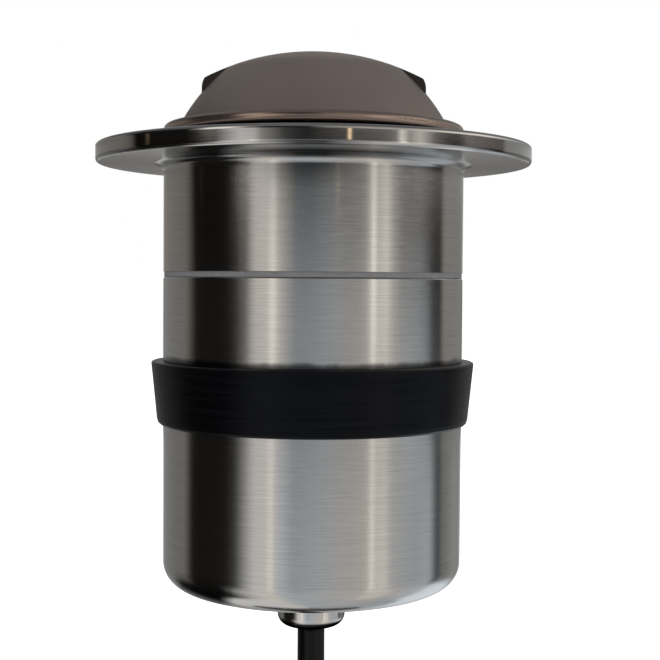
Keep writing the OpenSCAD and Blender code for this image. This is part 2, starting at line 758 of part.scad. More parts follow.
module cable_coil() {
    color([0.05, 0.05, 0.05]) translate([0, 0, mouth_z]) tube(coil_path, cable_d, 6);
}

// One tie round the turns between two radii, with its head outside
module coil_tie(inner_r, outer_r) {
    low = [inner_r - cable_d / 2 - 2 * ease, -cable_d / 2 - ease];
    high = [outer_r + cable_d / 2 + 2 * ease, coil_pitch + cable_d / 2 + ease];
    band_v = [tie_t, tie_t];
    linear_extrude(tie_w, center = true) difference() {
        soft_square(low - band_v, high + band_v, 2 * tie_t);
        soft_square(low, high, tie_t);
    }
    translate([high.x + tie_t / 2, 0, -tie_w * 0.6]) cube([tie_w * 0.8, tie_w, tie_w * 1.2]);
}

module coil_ties() {
    color([0.9, 0.9, 0.88]) translate([0, 0, mouth_z]) translate(coil_c) {
        mirror([1, 0, 0]) coil_tie(coil_radius(coil_turns / 2), coil_radius(0));
        coil_tie(coil_radius(coil_turns / 2 - 0.5), coil_radius(0.5));
    }
}

module end_cores() {
    color([0.35, 0.2, 0.12])
        translate(coil_path[len(coil_path) - 1] + [0, 0, mouth_z - strip_len])
        for (side = [-1, 1]) translate([0, side * core_place, 0])
            cylinder(d = core_wire_d, h = strip_len, $fn = 32);
}

module end_ferrules() {
    color([0.8, 0.8, 0.8])
        translate(coil_path[len(coil_path) - 1] + [0, 0, mouth_z - strip_len - ferrule_len])
        for (side = [-1, 1]) translate([0, side * core_place, 0])
            cylinder(d = core_wire_d * 0.75, h = ferrule_len, $fn = 32);
}

faceplate();
lens_gasket();
glass_lens();
clamp_ring();
clamp_screws();
hood_grip_ring();
hood();
reflector();
led_emitter();
led_board();
board_screws();
heat_sink();
heat_sink_screws();
driver_spacers();
driver();
output_wires();
terminal_block();
coupling_sleeve();
sleeve_seals();
joint_ring();
lower_can();
wedge_ring();
gland_lock_nut();
gland_flat_seal();
gland_body();
gland_seal();
gland_cap();
cable_tail();
tail_cores();
cable();
cable_coil();
coil_ties();
end_cores();
end_ferrules();
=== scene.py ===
# The dressed well light: camera, lead, faceplate, materials, floor, studio and lamps.
# Places are in metres in the model's frame, and sizes named in millimetres are scaled by MM.
import math
import bpy
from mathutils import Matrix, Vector


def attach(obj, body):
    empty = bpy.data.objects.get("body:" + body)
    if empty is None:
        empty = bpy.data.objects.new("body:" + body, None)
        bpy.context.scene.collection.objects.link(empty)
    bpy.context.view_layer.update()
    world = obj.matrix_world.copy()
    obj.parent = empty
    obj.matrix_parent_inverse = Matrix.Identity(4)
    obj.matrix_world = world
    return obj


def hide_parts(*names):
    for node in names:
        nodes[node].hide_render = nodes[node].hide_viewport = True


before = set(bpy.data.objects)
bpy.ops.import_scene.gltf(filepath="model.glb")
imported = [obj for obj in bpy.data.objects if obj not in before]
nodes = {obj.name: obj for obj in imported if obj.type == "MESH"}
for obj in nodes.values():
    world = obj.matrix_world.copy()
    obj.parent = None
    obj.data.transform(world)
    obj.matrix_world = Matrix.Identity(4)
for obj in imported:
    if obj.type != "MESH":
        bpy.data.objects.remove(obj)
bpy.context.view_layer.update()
MM = 0.001

# Camera, fitted to the photo's edges: it looks slightly down and is rolled by a hair
CAM_PLACE = (0.0044, -0.341, -0.0295)
CAM_DOWN = 0.036
CAM_ROLL = 0.0065
SENSOR_MM = 36
LENS_MM = 72.6
cam_data = bpy.data.cameras.new("camera")
cam_data.sensor_width = SENSOR_MM
cam_data.lens = LENS_MM
cam = bpy.data.objects.new("camera", cam_data)
bpy.context.collection.objects.link(cam)
cam.rotation_mode = "ZYX"
cam.location = CAM_PLACE
cam.rotation_euler = (math.pi / 2 - CAM_DOWN, 0, CAM_ROLL)
bpy.context.scene.camera = cam


# Mesh helpers
def mesh_object(name, verts, faces, smooth=True):
    """A mesh object made from points and faces."""
    mesh = bpy.data.meshes.new(name)
    mesh.from_pydata(verts, [], faces)
    mesh.update()
    for poly in mesh.polygons:
        poly.use_smooth = smooth
    obj = bpy.data.objects.new(name, mesh)
    bpy.context.collection.objects.link(obj)
    return obj


def swept_tube(name, path, diameter, sides=28):
    """A closed round tube along a path, with flat ends."""
    count = len(path)
    verts, faces = [], []
    side = Vector((0, 1, 0))
    for i, point in enumerate(path):
        along = (path[min(i + 1, count - 1)] - path[max(i - 1, 0)]).normalized()
        side = (side - side.dot(along) * along).normalized()
        other = along.cross(side)
        for k in range(sides):
            angle = 2 * math.pi * k / sides
            verts.append(point + diameter / 2 * (math.cos(angle) * side + math.sin(angle) * other))
    for i in range(count - 1):
        for k in range(sides):
            here = i * sides + k
            beside = i * sides + (k + 1) % sides
            faces.append((here, beside, beside + sides, here + sides))
    faces.append(tuple(reversed(range(sides))))
    faces.append(tuple(range((count - 1) * sides, count * sides)))
    return mesh_object(name, verts, faces)


def smooth_line(points, steps):
    """A smooth line through points, with a number of steps between each pair."""
    line = []
    for i in range(len(points) - 1):
        before = points[max(i - 1, 0)]
        start = points[i]
        end = points[i + 1]
        after = points[min(i + 2, len(points) - 1)]
        for step in range(steps):
            t = step / steps
            line.append(0.5 * (2 * start + (end - before) * t
                               + (2 * before - 5 * start + 4 * end - after) * t * t
                               + (3 * start - before - 3 * end + after) * t ** 3))
    line.append(points[-1].copy())
    return line


# Lead: it hangs from the gland's mouth in a soft bend, then lies in a coil
GLAND_LOW = -117.7
MOUTH = Vector((0, 0, GLAND_LOW)) * MM
ROUTE = [(0, 0, 0), (0, 0, -8), (0, 0, -16), (-0.5, 0, -23.5), (-2.5, 0, -31), (-5.5, 0, -38),
         (-10, 0, -44.5), (-15.5, 0, -50), (-21.5, 0, -54.5), (-27.5, 0, -59), (-33, 0, -64.5),
         (-37.5, 0, -71), (-40.5, 0, -78), (-42.5, 0, -85.5), (-43, 0, -93), (-43, 0, -100)]
ROUTE_STEPS = 4
LEAD_D = 7 * MM
COIL_CENTRE = Vector((0, 0, -107))
COIL_R = 43
TURNS = 4
PITCH = 7.5
STEPS_PER_TURN = 48
STRAIGHT_END = 7


def coil_point(t):
    """A point of the coil's centre line after t turns, as in the model's source."""
    radius = COIL_R - PITCH * min(t, TURNS - t)
    crossing = min(max((t - TURNS / 2) * 2 + 0.5, 0), 1)
    layer = PITCH * crossing * crossing * (3 - 2 * crossing)
    turned = 2 * math.pi * t
    return COIL_CENTRE + Vector((-radius * math.cos(turned), layer, -radius * math.sin(turned)))


route = [MOUTH + Vector(p) * MM for p in ROUTE]
coil = [MOUTH + coil_point(i / STEPS_PER_TURN) * MM for i in range(TURNS * STEPS_PER_TURN + 1)]
tail = [coil[-1] - Vector((0, 0, STRAIGHT_END * MM * part)) for part in (0.5, 1)]
lead_path = smooth_line(route, ROUTE_STEPS) + coil + tail
lead = swept_tube("lead", lead_path, LEAD_D)
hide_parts("cable", "cable_coil")
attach(lead, "housing")


# Faceplate: the flange with its tube, turned finely so that its rim reflects cleanly
def arc(centre, radius, start, end, steps=10):
    """Points of an arc in a profile, from one angle in degrees to another."""
    angles = [math.radians(start + (end - start) * i / steps) for i in range(steps + 1)]
    return [(centre[0] + radius * math.cos(a), centre[1] + radius * math.sin(a)) for a in angles]


def lathed(name, profile, segments=240):
    """A closed profile of (radius, height) in millimetres turned round the axis."""
    verts, faces = [], []
    count = len(profile)
    for k in range(segments):
        angle = 2 * math.pi * k / segments
        following = (k + 1) % segments
        for i, (r, z) in enumerate(profile):
            above = (i + 1) % count
            verts.append((r * MM * math.cos(angle), r * MM * math.sin(angle), z * MM))
            faces.append((k * count + i, following * count + i,
                          following * count + above, k * count + above))
    return mesh_object(name, verts, faces)


def drilled(obj, holes, sides=32):
    """The object with (x, y, low, high, diameter) holes in millimetres cut out of it."""
    verts, faces = [], []
    for x, y, low, high, diameter in holes:
        first = len(verts)
        for z in (low, high):
            for k in range(sides):
                angle = 2 * math.pi * k / sides
                verts.append(((x + diameter / 2 * math.cos(angle)) * MM,
                              (y + diameter / 2 * math.sin(angle)) * MM, z * MM))
        for k in range(sides):
            beside = (k + 1) % sides
            faces.append((first + k, first + beside, first + sides + beside, first + sides + k))
        faces.append(tuple(first + k for k in reversed(range(sides))))
        faces.append(tuple(first + sides + k for k in range(sides)))
    cutter = mesh_object("cutter", verts, faces)
    cut = obj.modifiers.new("holes", "BOOLEAN")
    cut.operation = "DIFFERENCE"
    cut.solver = "EXACT"
    cut.object = cutter
    bpy.context.view_layer.update()
    evaluated = obj.evaluated_get(bpy.context.evaluated_depsgraph_get())
    mesh = bpy.data.meshes.new_from_object(evaluated)
    obj.modifiers.clear()
    obj.data = mesh
    bpy.data.objects.remove(cutter)


def ring_of_holes(radius, angles, low, high, diameter):
    """Holes on a circle round the axis, at angles in degrees."""
    turns = [math.radians(a) for a in angles]
    return [(radius * math.cos(t), radius * math.sin(t), low, high, diameter) for t in turns]


FLANGE_R = 55.0
FLANGE_T = 4.6
RIM_ROUND = 0.9
FILLET = 2.4
TUBE_R = 38.05
TUBE_WALL = 2.0
TUBE_END = -27.1
POCKET_R = 31.15
LEDGE_R = 27.2
LEDGE_TOP = -1.4
LEDGE_LOW = -5.4
# An extra point this far past an arc keeps the shading of the flat beside it flat.
HOLD = 0.3
RIM_HOLD = 0.2
CLAMP_HOLES = ring_of_holes(33.85, (45, 135, 225, 315), low=-1.0, high=6.0, diameter=2.5)
SINK_HOLES = ring_of_holes(30.95, (90, 210, 330), low=-6.4, high=-2.4, diameter=2.4)
plate = lathed("plate",
               [(POCKET_R, FLANGE_T), (FLANGE_R - RIM_ROUND - HOLD, FLANGE_T)]
               + arc((FLANGE_R - RIM_ROUND, FLANGE_T - RIM_ROUND), RIM_ROUND, 90, 0)
               + [(FLANGE_R, FLANGE_T - RIM_ROUND - RIM_HOLD), (FLANGE_R, RIM_ROUND + RIM_HOLD)]
               + arc((FLANGE_R - RIM_ROUND, RIM_ROUND), RIM_ROUND, 0, -90)
               + [(FLANGE_R - RIM_ROUND - HOLD, 0), (TUBE_R + FILLET + HOLD, 0)]
               + arc((TUBE_R + FILLET, -FILLET), FILLET, 90, 180, steps=20)
               + [(TUBE_R, -FILLET - HOLD), (TUBE_R, TUBE_END), (TUBE_R - TUBE_WALL, TUBE_END),
                  (TUBE_R - TUBE_WALL, LEDGE_LOW), (LEDGE_R, LEDGE_LOW), (LEDGE_R, LEDGE_TOP),
                  (POCKET_R, LEDGE_TOP)])
drilled(plate, CLAMP_HOLES + SINK_HOLES)
plate.data.set_sharp_from_angle(angle=math.radians(30))
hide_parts("faceplate")
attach(plate, "housing")


# Node helpers
class Nodes:
    """A node tree with short ways to make and link its nodes."""

    def __init__(self, tree):
        self.tree = tree

    def node(self, kind, **props):
        """A new node with these properties."""
        made = self.tree.nodes.new(kind)
        for key, value in props.items():
            setattr(made, key, value)
        return made

    def feed(self, value, socket):
        """Links another node's output to an input, or writes a plain value there."""
        if isinstance(value, bpy.types.NodeSocket):
            self.tree.links.new(value, socket)
        else:
            socket.default_value = value

    def math(self, operation, *values):
        """The result of one operation on numbers or outputs."""
        made = self.node("ShaderNodeMath", operation=operation)
        for value, socket in zip(values, made.inputs):
            self.feed(value, socket)
        return made.outputs[0]

    def span(self, value, low, high, start=0.0, end=1.0, smooth=False):
        """A number that goes from low to high as the value goes from start to end."""
        made = self.node("ShaderNodeMapRange", interpolation_type="SMOOTHSTEP" if smooth else "LINEAR")
        self.feed(value, made.inputs["Value"])
        self.feed(start, made.inputs["From Min"])
        self.feed(end, made.inputs["From Max"])
        self.feed(low, made.inputs["To Min"])
        self.feed(high, made.inputs["To Max"])
        return made.outputs["Result"]

    def mix(self, factor, a, b, kind="FLOAT"):
        """A number or, with kind RGBA, a colour between a and b."""
        made = self.node("ShaderNodeMix", data_type=kind)
        self.feed(factor, made.inputs["Factor"])
        self.feed(a, made.inputs["A"])
        self.feed(b, made.inputs["B"])
        return made.outputs["Result"]

    def ramp(self, factor, stops):
        """A colour from (place, colour) stops."""
        made = self.node("ShaderNodeValToRGB")
        self.feed(factor, made.inputs["Fac"])
        elements = made.color_ramp.elements
        while len(elements) < len(stops):
            elements.new(0.5)
        for element, (place, colour) in zip(elements, stops):
            element.position = place
            element.color = (*colour, 1)
        return made.outputs["Color"]

    def profile(self, value, stops):
        """A factor that follows (millimetres, factor) stops along a length in metres."""
        first = stops[0][0]
        last = stops[-1][0]
        along = self.span(value, 0.0, 1.0, first * MM, last * MM)
        return self.ramp(along, [((at - first) / (last - first), (f, f, f)) for at, f in stops])

    def axes(self, kind="Object"):
        """X, Y and Z of the object's own coordinates, or of another kind of coordinates."""
        place = self.node("ShaderNodeTexCoord")
        split = self.node("ShaderNodeSeparateXYZ")
        self.feed(place.outputs[kind], split.inputs[0])
        return split.outputs

    def vector(self, x, y, z=0.0):
        """A vector of three numbers or outputs."""
        made = self.node("ShaderNodeCombineXYZ")
        for value, socket in zip((x, y, z), made.inputs):
            self.feed(value, socket)
        return made.outputs[0]

    def length(self, vector):
        """The length of a vector."""
        made = self.node("ShaderNodeVectorMath", operation="LENGTH")
        self.feed(vector, made.inputs[0])
        return made.outputs["Value"]

    def noise(self, place, scale, detail=3, rough=0.5):
        """Noise between 0 and 1."""
        made = self.node("ShaderNodeTexNoise")
        self.feed(place, made.inputs["Vector"])
        self.feed(scale, made.inputs["Scale"])
        self.feed(detail, made.inputs["Detail"])
        self.feed(rough, made.inputs["Roughness"])
        return made.outputs["Fac"]


class Mat(Nodes):
    """A material with its shader."""

    def __init__(self, name):
        self.mat = bpy.data.materials.new(name)
        self.mat.use_nodes = True
        super().__init__(self.mat.node_tree)
        self.bsdf = self.tree.nodes["Principled BSDF"]

    def shader(self, **values):
        """Sets or links the shader's inputs, with _ for each space in their names."""
        for key, value in values.items():
            self.feed(value, self.bsdf.inputs[key.replace("_", " ")])

    def coords(self, scale=(1, 1, 1)):
        """The object's own coordinates, scaled."""
        place = self.node("ShaderNodeTexCoord")
        mapping = self.node("ShaderNodeMapping")
        self.feed(scale, mapping.inputs["Scale"])
        self.feed(place.outputs["Object"], mapping.inputs["Vector"])
        return mapping.outputs["Vector"]

    def turned_coords(self, along, across):
        """Coordinates that run slowly round the axis and fast along a lathe's feed."""
        x, y, z = self.axes()
        travel = self.math("ADD", self.length(self.vector(x, y)), z)
        return self.vector(self.math("MULTIPLY", x, along), self.math("MULTIPLY", y, along),
                           self.math("MULTIPLY", travel, across))

    def tone(self, factor):
        """Multiplies the base colour by a factor."""
        colour = self.bsdf.inputs["Base Color"].links[0].from_socket
        product = self.node("ShaderNodeVectorMath", operation="SCALE")
        self.feed(colour, product.inputs[0])
        self.feed(factor, product.inputs["Scale"])
        self.shader(Base_Color=product.outputs["Vector"])

    def bump(self, height, strength, distance):
        """Relief from a height between 0 and 1, over a distance in metres."""
        made = self.node("ShaderNodeBump")
        self.feed(height, made.inputs["Height"])
        self.feed(strength, made.inputs["Strength"])
        self.feed(distance, made.inputs["Distance"])
        self.shader(Normal=made.outputs["Normal"])


def assign(mat, *pieces):
    """Gives a material to nodes, by name, and to new pieces."""
    for piece in pieces:
        obj = nodes[piece] if isinstance(piece, str) else piece
        if not obj.material_slots:
            obj.data.materials.append(mat.mat)
        for slot in obj.material_slots:
            slot.material = mat.mat


# Kinds of material
def brushed_metal(name, colour, rough, grain=0.16, relief=0.09, polished_from=None):
    """Metal with fine lines from a belt that ran round it, polished above a height in metres."""
    m = Mat(name)
    tangent = m.node("ShaderNodeTangent", direction_type="RADIAL", axis="Z")
    m.shader(Metallic=1.0, Anisotropic=0.6, Anisotropic_Rotation=0.25, Tangent=tangent.outputs[0])
    fine = m.noise(m.turned_coords(along=260, across=9000), scale=1.0, detail=4, rough=0.6)
    long = m.noise(m.turned_coords(along=80, across=3400), scale=1.0, detail=3, rough=0.5)
    blotch = m.noise(m.coords(), scale=28, detail=3, rough=0.55)
    lines = m.math("MULTIPLY_ADD", fine, 0.5, m.math("MULTIPLY", long, 0.5))
    dark = (colour[0] * (1 - grain),) * 3
    light = tuple(min(c * (1 + grain * 0.6), 1) for c in colour)
    gloss = m.math("ADD", m.span(fine, rough - 0.05, rough + 0.07), m.math("MULTIPLY", blotch, 0.06))
    strength = relief
    if polished_from is not None:
        brushed = m.span(m.axes()["Z"], 1.0, 0.0, polished_from, polished_from + 0.2 * MM)
        gloss = m.math("MULTIPLY", gloss, m.span(brushed, 0.45, 1.0))
        strength = m.span(brushed, 0.0, relief)
    m.shader(Base_Color=m.ramp(lines, [(0.3, dark), (0.7, light)]), Roughness=gloss)
    m.bump(lines, strength, 0.04 * MM)
    return m


def plain(name, colour, rough, metallic=0.0, scale=400, amount=0.12, specular=0.5):
    """A material with a fine grain in its colour, gloss and surface."""
    m = Mat(name)
    m.shader(Metallic=metallic, Specular_IOR_Level=specular)
    grain = m.noise(m.coords(), scale, detail=4, rough=0.6)
    low = tuple(c * (1 - amount) for c in colour)
    high = tuple(min(c * (1 + amount), 1) for c in colour)
    m.shader(Base_Color=m.ramp(grain, [(0.3, low), (0.7, high)]),
             Roughness=m.span(grain, max(rough - 0.08, 0.02), min(rough + 0.08, 1)))
    m.bump(grain, 0.15, 0.04 * MM)
    return m


# Main materials, and the heights in millimetres near which their tones change
CAN_LOW = -106.9
RING_LOW = -65.5
RING_TOP = -49.6
BRIM_LOW = 7.3
BRIM_TOP = 9.8


def plate_steel():
    """The faceplate's steel: brushed tube, polished flange, painted shade on edges and underside."""
    m = brushed_metal("brushed_stainless", (0.60, 0.595, 0.585), 0.12, polished_from=0.4 * MM)
    x, _, z = m.axes()
    # Painted shade from the fillet up to the underside, and again where the upper edge is rounded
    painted_edge_shade = m.profile(z, [(-1.5, 1.0), (-0.9, 0.50), (-0.05, 0.34), (0.03, 0.34), (0.12, 1.0),
                         (3.85, 1.0), (4.05, 0.30), (4.52, 0.30), (4.58, 1.0)])
    # Painted shade darkens the underside and the tube's top near the middle and under the flange's ends
    under = m.profile(z, [(-8.5, 0.0), (-2.6, 0.8), (-2.2, 0.0), (-1.5, 0.0), (-0.9, 1.0),
                          (0.85, 1.0), (0.95, 0.0)])
    sideways = m.profile(m.math("ABSOLUTE", x), [(3, 0.16), (14, 1.0), (34, 1.0), (38, 0.55),
                                                 (47, 0.50), (54, 0.64)])
    m.tone(m.math("MULTIPLY", painted_edge_shade, m.mix(under, 1.0, sideways)))
    return m


def can_steel():
    """The can's brushed steel, with painted dark reflections above the rubber ring and on the corner's dark
    side.
    """
    m = brushed_metal("brushed_can", (0.625, 0.62, 0.61), 0.125)
    x, y, z = m.axes()
    # A dark patch on the rounded corner carries on the dark flag's reflection above it
    corner = m.profile(z, [(CAN_LOW, 1.0), (-103.5, 1.0), (-99.5, 0.0)])
    front = m.profile(y, [(-12, 1.0), (-4, 0.0)])
    flag = m.profile(x, [(-33.5, 0.0), (-31.0, 0.95), (-21.0, 0.95), (-17.5, 0.0)])
    m.tone(m.mix(m.math("MULTIPLY", flag, m.math("MULTIPLY", corner, front)), 1.0, 0.0))
    # The ring's dark reflection ends in a ragged line
    ragged = m.noise(m.coords((1, 1, 0.2)), scale=140, detail=3, rough=0.6)
    lifted = m.math("MULTIPLY_ADD", ragged, -1.6 * MM, z)
    m.tone(m.profile(lifted, [(RING_LOW - 0.5, 1.0), (RING_LOW - 0.3, 0.18), (RING_TOP - 0.4, 0.14),
                              (RING_TOP + 0.1, 0.30), (RING_TOP + 0.9, 1.0)]))
    return m


def hood_metal():
    """Brown-grey satin metal, glossier on the brim and graded there by a painted reflection, painted shade
    on the lids' flat sides.
    """
    m = Mat("hood_metal")
    height = m.axes()["Z"]
    speck = m.noise(m.coords(), scale=2600, detail=2, rough=0.6)
    cloud = m.noise(m.coords(), scale=45, detail=3, rough=0.5)
    on_brim = m.span(height, 1.0, 0.0, (BRIM_TOP - 0.05) * MM, (BRIM_TOP + 0.25) * MM)
    dome_colour = m.ramp(cloud, [(0.3, (0.210, 0.172, 0.155)), (0.7, (0.244, 0.202, 0.183))])
    # The brim's colour carries a painted reflection: light at its bottom, dark towards its top
    up_brim = m.span(height, 0.0, 1.0, BRIM_LOW * MM, (BRIM_TOP + 0.1) * MM)
    brim_colour_and_reflection = m.ramp(up_brim, [(0.0, (0.46, 0.35, 0.30)), (0.50, (0.44, 0.34, 0.29)),
                                   (0.64, (0.17, 0.132, 0.115)), (0.9, (0.13, 0.104, 0.09)),
                                   (1.0, (0.10, 0.08, 0.07))])
    m.shader(Metallic=0.9, Base_Color=m.mix(on_brim, dome_colour, brim_colour_and_reflection, "RGBA"),
             Roughness=m.mix(on_brim, m.span(speck, 0.44, 0.56), 0.19))
    # Painted shade on the lids' flat sides, darkest just above the brim
    facing = m.math("ABSOLUTE", m.axes("Normal")["Y"])
    flat_side = m.span(facing, 0.0, 1.0, 0.95, 0.985)
    shaded = m.profile(height, [(BRIM_TOP + 0.2, 1.0), (BRIM_TOP + 0.4, 0.10), (16.0, 0.26), (24.0, 0.30)])
    m.tone(m.mix(flat_side, 1.0, shaded))
    m.bump(speck, 0.35, 0.03 * MM)
    return m


def wedge_rubber():
    """Black rubber with fine moulding lines round it."""
    m = Mat("wedge_rubber")
    lines = m.noise(m.turned_coords(along=40, across=1700), scale=1.0, detail=3, rough=0.6)
    m.shader(Metallic=0.0, Specular_IOR_Level=0.14, Specular_Tint=(0.74, 0.82, 1.0, 1),
             Base_Color=m.ramp(lines, [(0.35, (0.0006, 0.0007, 0.001)), (0.65, (0.0035, 0.0036, 0.0046))]),
             Roughness=m.span(lines, 0.26, 0.38))
    m.bump(lines, 0.5, 0.06 * MM)
    return m


def gland_metal():
    """Polished metal, with a painted dark reflection on the lower edge of the gland's cap."""
    m = brushed_metal("gland_metal", (0.72, 0.70, 0.67), 0.09, grain=0.05, relief=0.08)
    m.shader(Specular_Tint=(0.25, 0.24, 0.23, 1))
    # Painted dark reflection on the cap's lower edge
    m.tone(m.profile(m.axes()["Z"], [(GLAND_LOW, 0.02), (-116.0, 0.04), (-115.5, 1.0)]))
    return m


def lens_glass():
    """Clear glass with a faint green tint and a few smears."""
    m = Mat("lens_glass")
    smear = m.noise(m.coords(), scale=60, detail=3, rough=0.5)
    m.shader(Metallic=0.0, IOR=1.5, Transmission_Weight=1.0, Roughness=m.span(smear, 0.01, 0.05),
             Base_Color=m.ramp(smear, [(0.3, (0.86, 0.93, 0.92)), (0.7, (0.92, 0.97, 0.96))]))
    return m


assign(plate_steel(), plate)
assign(can_steel(), "lower_can")
assign(hood_metal(), "hood")
assign(wedge_rubber(), "wedge_ring")
assign(gland_metal(), "gland_lock_nut", "gland_body", "gland_cap")
assign(lens_glass(), "glass_lens")
assign(plain("grey_gasket", (0.20, 0.20, 0.21), 0.5, scale=700), "joint_ring")
assign(plain("cable_rubber", (0.003, 0.0035, 0.004), 0.34, scale=1200, specular=0.22), "cable_tail", lead)

# Materials of the hidden parts and of the lead's ties and end
assign(plain("black_rubber", (0.02, 0.02, 0.021), 0.55, scale=900),
       "lens_gasket", "hood_grip_ring", "sleeve_seals", "gland_flat_seal", "gland_seal")
assign(plain("dark_metal", (0.03, 0.03, 0.033), 0.45, 0.6, scale=900), "clamp_ring")
assign(plain("led_phosphor", (0.90, 0.72, 0.16), 0.35, scale=1500), "led_emitter")
assign(plain("board_white", (0.78, 0.78, 0.76), 0.35, scale=800, amount=0.05), "led_board")
assign(plain("driver_case", (0.03, 0.03, 0.033), 0.45, scale=700), "driver")
assign(plain("red_wire", (0.45, 0.02, 0.015), 0.4, scale=900), "output_wires")
assign(plain("block_plastic", (0.68, 0.66, 0.60), 0.45, scale=700, amount=0.06), "terminal_block")
assign(plain("core_insulation", (0.16, 0.065, 0.03), 0.4, scale=900), "tail_cores", "end_cores")
assign(plain("tie_plastic", (0.78, 0.78, 0.75), 0.4, scale=500, amount=0.05), "coil_ties")
assign(brushed_metal("screw_steel", (0.62, 0.61, 0.60), 0.25),
       "clamp_screws", "board_screws", "heat_sink_screws")
assign(brushed_metal("reflector_metal", (0.86, 0.86, 0.87), 0.14, grain=0.04, relief=0.1), "reflector")
assign(brushed_metal("cast_aluminium", (0.62, 0.62, 0.63), 0.3), "heat_sink", "coupling_sleeve")
assign(brushed_metal("brass_parts", (0.72, 0.52, 0.22), 0.25), "driver_spacers")
assign(brushed_metal("ferrule_metal", (0.72, 0.72, 0.72), 0.22), "end_ferrules")

# Floor: it lies under the hanging coil and brightens to white away from the object
FLOOR_Z = -0.2735
FLOOR_HALF = 4
FADE_START = 0.45
FADE_END = 0.8
corners = [(-1, -1), (1, -1), (1, 1), (-1, 1)]
floor = mesh_object("floor", [(x * FLOOR_HALF, y * FLOOR_HALF, FLOOR_Z) for x, y in corners],
                    [(0, 1, 2, 3)], smooth=False)
floor.visible_glossy = False


def floor_paint():
    """Pale matt paint that also glows for the camera, weakly near the object and fully far away."""
    m = Mat("floor")
    m.shader(Base_Color=(0.85, 0.85, 0.85, 1), Roughness=0.9)
    here = m.node("ShaderNodeTexCoord")
    fade = m.span(m.length(here.outputs["Object"]), 0.3, 1.0, FADE_START, FADE_END, smooth=True)
    rays = m.node("ShaderNodeLightPath")
    glow = m.node("ShaderNodeEmission")
    m.feed(m.math("MULTIPLY", rays.outputs["Is Camera Ray"], fade), glow.inputs["Strength"])
    both = m.node("ShaderNodeAddShader")
    m.feed(m.bsdf.outputs[0], both.inputs[0])
    m.feed(glow.outputs[0], both.inputs[1])
    m.feed(both.outputs[0], m.tree.nodes["Material Output"].inputs["Surface"])
    return m


assign(floor_paint(), floor)

# Studio: grey walls, tall light panels and dark flags stand round the object, a pale ceiling above
# it. A stop is (azimuth in degrees, brightness, tint). Azimuth 0 is towards the camera and 90 is
# the camera's right. Each table is for one range of directions, from straight down to above the hood.
WARM = (1.07, 1.0, 0.91)
COOL = (0.94, 1.0, 1.05)
PLAIN = (1.01, 1.0, 0.985)
GOLD = (1.40, 1.0, 0.62)
ROSE = (1.16, 0.97, 0.95)
CEILING = (0.50, 0.50, 0.51, 1)
# Straight down
BANDS_DOWN = [(-180, 0.30, PLAIN), (-150, 0.70, PLAIN), (-110, 0.76, PLAIN), (-60, 0.78, PLAIN),
              (-35, 0.72, WARM), (-20, 0.56, COOL), (0, 0.54, COOL), (45, 0.54, PLAIN), (80, 0.50, PLAIN),
              (120, 0.46, COOL), (150, 0.50, COOL), (180, 0.30, PLAIN)]
# Steeply down, seen in the can's rounded corner
BANDS_STEEP = [(-180, 0.40, PLAIN), (-150, 0.30, PLAIN), (-133, 0.02, PLAIN), (-76, 0.012, WARM),
               (-66, 0.20, PLAIN), (-58, 0.50, PLAIN), (-43, 0.76, WARM), (-32, 0.76, WARM),
               (-22, 0.60, COOL), (-10, 0.54, COOL), (20, 0.54, PLAIN), (38, 0.56, WARM),
               (50, 0.72, WARM), (62, 0.68, WARM), (76, 0.54, PLAIN), (104, 0.60, COOL), (118, 0.98, COOL),
               (150, 0.98, COOL), (180, 0.40, PLAIN)]
# Seen in the can below the rubber ring
BANDS_LOW = [(-180, 0.60, PLAIN), (-168, 0.75, PLAIN), (-158, 0.26, PLAIN), (-125, 0.20, PLAIN),
             (-112, 0.20, WARM), (-102, 0.010, WARM), (-66, 0.010, WARM), (-58, 0.05, PLAIN),
             (-52, 0.31, PLAIN), (-43, 0.72, PLAIN), (-33, 0.70, WARM), (-30, 1.10, WARM),
             (-27, 0.68, PLAIN), (-20, 0.60, COOL), (-13, 0.46, COOL), (0, 0.51, COOL),
             (20, 0.53, PLAIN), (39, 0.54, WARM), (43.5, 0.58, WARM), (46, 1.20, WARM),
             (49, 0.66, WARM), (56, 0.79, WARM), (63, 0.52, PLAIN), (84, 0.45, COOL), (101, 0.52, COOL),
             (109, 0.12, COOL), (113, 0.07, COOL), (118, 0.20, PLAIN), (140, 0.32, PLAIN),
             (156, 0.26, PLAIN), (166, 0.60, PLAIN), (180, 0.60, PLAIN)]
# Seen in the flange's underside
BANDS_NEAR = [(-180, 0.28, PLAIN), (-177, 0.24, PLAIN), (-174, 0.09, WARM), (-166, 0.09, WARM),
              (-158, 0.24, PLAIN), (-111, 0.18, WARM), (-104, 0.006, WARM), (-60, 0.006, WARM),
              (-50, 0.15, PLAIN), (-43, 0.55, PLAIN), (-33, 0.60, PLAIN), (-24, 0.20, PLAIN),
              (-15, 0.06, PLAIN), (0, 0.04, COOL), (20, 0.10, COOL), (36, 0.18, PLAIN),
              (45, 0.30, PLAIN), (58, 0.30, PLAIN), (80, 0.55, COOL), (92, 0.40, COOL), (103, 0.07, COOL),
              (118, 0.20, PLAIN), (158, 0.24, PLAIN), (166, 0.09, WARM), (174, 0.09, WARM),
              (177, 0.24, PLAIN), (180, 0.28, PLAIN)]
